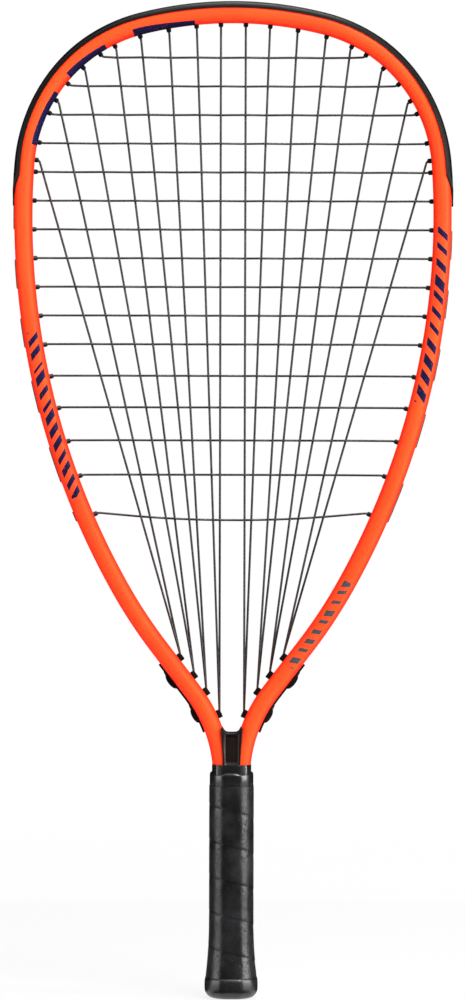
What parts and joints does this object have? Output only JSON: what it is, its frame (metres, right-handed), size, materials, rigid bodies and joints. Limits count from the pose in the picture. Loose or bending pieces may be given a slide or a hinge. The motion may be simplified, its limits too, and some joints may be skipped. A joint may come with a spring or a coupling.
{
  "type": "racquetball racket",
  "caption": "Teardrop racquetball racket with a strung face, head guard, grommet strips, throat ports, wrapped handle and flared butt cap.",
  "frame": {"origin": "on the handle's axis at the middle of the grip, where the hand holds it", "axes": "+Z along the handle towards the head, +X to the right across the string face, -Y out of the front face shown in the picture"},
  "size_m": [0.2478, 0.0338, 0.5589],
  "materials": {
    "frame_paint": "glossy fluorescent orange paint over a moulded carbon tube, with dark blue marks",
    "guard_plastic": "satin black nylon with a soft highlight along its ridges",
    "strip_plastic": "satin black nylon",
    "yoke_plastic": "satin black moulded plastic",
    "string_nylon": "charcoal nylon with a slight sheen",
    "grip_rubber": "matt black tacky rubber with a worn, greyish bloom on the edges",
    "band_rubber": "smooth black rubber",
    "cap_rubber": "smooth matt black rubber",
    "shell_foam": "dense grey moulded foam",
    "plug_foam": "light grey foam"
  },
  "bodies": {
    "root": {"frame_tube": "frame_paint", "head_guard": "guard_plastic", "side_grommet_strip_left": "strip_plastic", "side_grommet_strip_right": "strip_plastic", "throat_strip_left": "strip_plastic", "throat_strip_right": "strip_plastic", "shaft_plug_left": "plug_foam", "shaft_plug_right": "plug_foam", "throat_yoke": "yoke_plastic", "main_string": "string_nylon", "cross_string": "string_nylon", "handle_shell_front": "shell_foam", "handle_shell_back": "shell_foam", "grip_wrap": "grip_rubber", "grip_band": "band_rubber", "grip_collar": "band_rubber", "butt_cap": "cap_rubber", "port_sleeve_left_1": "strip_plastic", "port_sleeve_left_2": "strip_plastic", "port_sleeve_left_3": "strip_plastic", "port_sleeve_left_4": "strip_plastic", "port_sleeve_right_1": "strip_plastic", "port_sleeve_right_2": "strip_plastic", "port_sleeve_right_3": "strip_plastic", "port_sleeve_right_4": "strip_plastic"}
  },
  "joints": []
}
